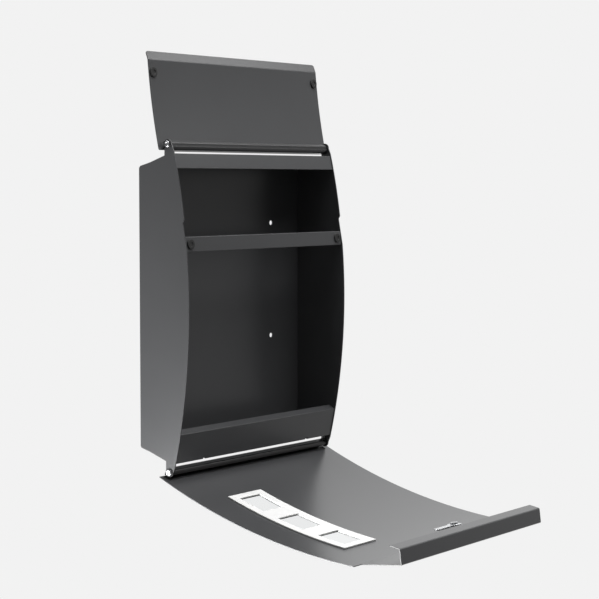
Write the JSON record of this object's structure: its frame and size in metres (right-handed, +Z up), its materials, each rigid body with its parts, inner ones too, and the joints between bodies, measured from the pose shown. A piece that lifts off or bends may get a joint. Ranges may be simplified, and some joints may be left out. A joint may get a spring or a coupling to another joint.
{
  "type": "wall letterbox",
  "caption": "Wall letterbox with a bowed front, a top-hinged mail flap, a bottom-hinged collection door with a window strip, and a cam lock.",
  "frame": {"origin": "centre of the four wall holes, on the back face that lies against the wall", "axes": "+Z up, the front faces -Y, +X to the right of someone who faces the wall; the wall is the plane Y = 0"},
  "size_m": [0.37, 0.428, 0.6508],
  "materials": {
    "graphite_powder_coat": "matte fine-textured powder coat",
    "dark_powder_coat": "satin black powder coat",
    "zinc_plated_steel": "bright zinc plate",
    "bright_nickel": "polished nickel plate",
    "black_nylon": "matte moulded nylon",
    "rubber": "matte black rubber",
    "white_plastic": "satin white moulded plastic",
    "clear_acrylic": "clear acrylic sheet"
  },
  "bodies": {
    "root": {"back_plate": "graphite_powder_coat", "left_side_panel": "graphite_powder_coat", "right_side_panel": "graphite_powder_coat", "roof_plate": "graphite_powder_coat", "floor_plate": "graphite_powder_coat", "middle_bar": "graphite_powder_coat", "left_bar_bumper": "rubber", "right_bar_bumper": "rubber", "top_left_pin": "zinc_plated_steel", "top_right_pin": "zinc_plated_steel", "bottom_left_pin": "zinc_plated_steel", "bottom_right_pin": "zinc_plated_steel", "top_left_washer": "black_nylon", "top_right_washer": "black_nylon", "bottom_left_washer": "black_nylon", "bottom_right_washer": "black_nylon"},
    "flap": {"flap_panel": "graphite_powder_coat", "flap_hinge_bar": "dark_powder_coat", "flap_left_bush": "black_nylon", "flap_right_bush": "black_nylon", "flap_left_bumper": "rubber", "flap_right_bumper": "rubber"},
    "door": {"door_panel": "graphite_powder_coat", "door_hinge_bar": "dark_powder_coat", "door_left_bush": "black_nylon", "door_right_bush": "black_nylon", "window_strip": "white_plastic", "window_panes": "clear_acrylic", "lock_body": "bright_nickel", "lock_washer": "zinc_plated_steel", "lock_nut": "zinc_plated_steel"},
    "lock": {"lock_plug": "bright_nickel", "lock_lever": "zinc_plated_steel", "lever_screw": "zinc_plated_steel"}
  },
  "joints": [
    {"name": "flap_hinge", "type": "hinge", "parent": "root", "child": "flap", "pos_m": [0, -0.0525, 0.1945], "axis": [1, 0, 0], "range_deg": [0, 177]},
    {"name": "door_hinge", "type": "hinge", "parent": "root", "child": "door", "pos_m": [0, -0.0525, -0.2475], "axis": [1, 0, 0], "range_deg": [-99.5, 0]},
    {"name": "lock_turn", "type": "hinge", "parent": "door", "child": "lock", "pos_m": [0, -0.39818, -0.32814], "axis": [0, -0.124, -0.9923], "range_deg": [0, 90]}
  ]
}
